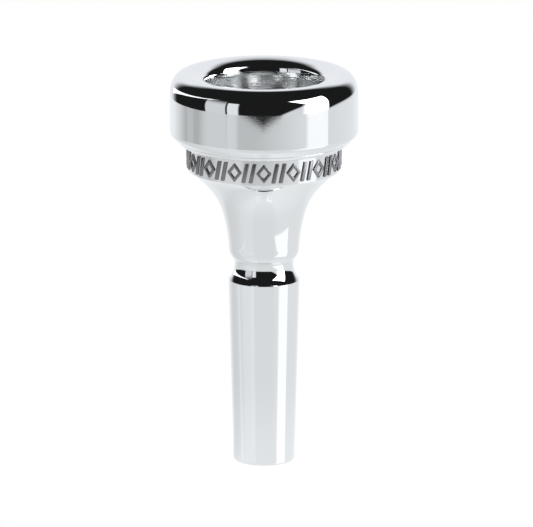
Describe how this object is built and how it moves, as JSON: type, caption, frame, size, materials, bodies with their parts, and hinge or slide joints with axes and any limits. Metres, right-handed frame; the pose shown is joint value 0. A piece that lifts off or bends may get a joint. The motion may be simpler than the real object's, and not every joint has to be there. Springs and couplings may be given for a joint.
{
  "type": "cornet mouthpiece",
  "caption": "Sectional brass-instrument mouthpiece: rounded screw rim, flared bowl with embossed collar, and a screwed tapered shank with a through bore.",
  "frame": {"origin": "centre of the small end of the shank, on the bore's axis", "axes": "+Z along the bore from the shank towards the rim; the piece is round, and -Y is the side shown first"},
  "size_m": [0.027, 0.027, 0.0572],
  "materials": {
    "silver_plate": "mirror-polished silver plate over brass",
    "seal_rubber": "matte"
  },
  "bodies": {
    "backbore": {"backbore": "silver_plate"},
    "backbore_seal": {"backbore_seal": "seal_rubber"},
    "cup": {"cup": "silver_plate"},
    "rim_seal": {"rim_seal": "seal_rubber"},
    "rim": {"rim": "silver_plate"}
  },
  "joints": [
    {"name": "cup_lift", "type": "slide", "parent": "backbore", "child": "backbore_seal", "axis": [0, 0, 1], "range_m": [0, 0.005]},
    {"name": "cup_turn", "type": "hinge", "parent": "backbore_seal", "child": "cup", "pos_m": [0, 0, 0.0298], "axis": [0, 0, 1], "range_deg": [0, 2160]},
    {"name": "rim_lift", "type": "slide", "parent": "cup", "child": "rim_seal", "axis": [0, 0, 1], "range_m": [0, 0.00329]},
    {"name": "rim_turn", "type": "hinge", "parent": "rim_seal", "child": "rim", "pos_m": [0, 0, 0.04758], "axis": [0, 0, 1], "range_deg": [0, 1620]}
  ],
  "couplings": [
    {"joint": "cup_turn", "follows": "cup_lift", "rad_per_m": 6283.2},
    {"joint": "rim_turn", "follows": "rim_lift", "rad_per_m": 6684.2}
  ]
}
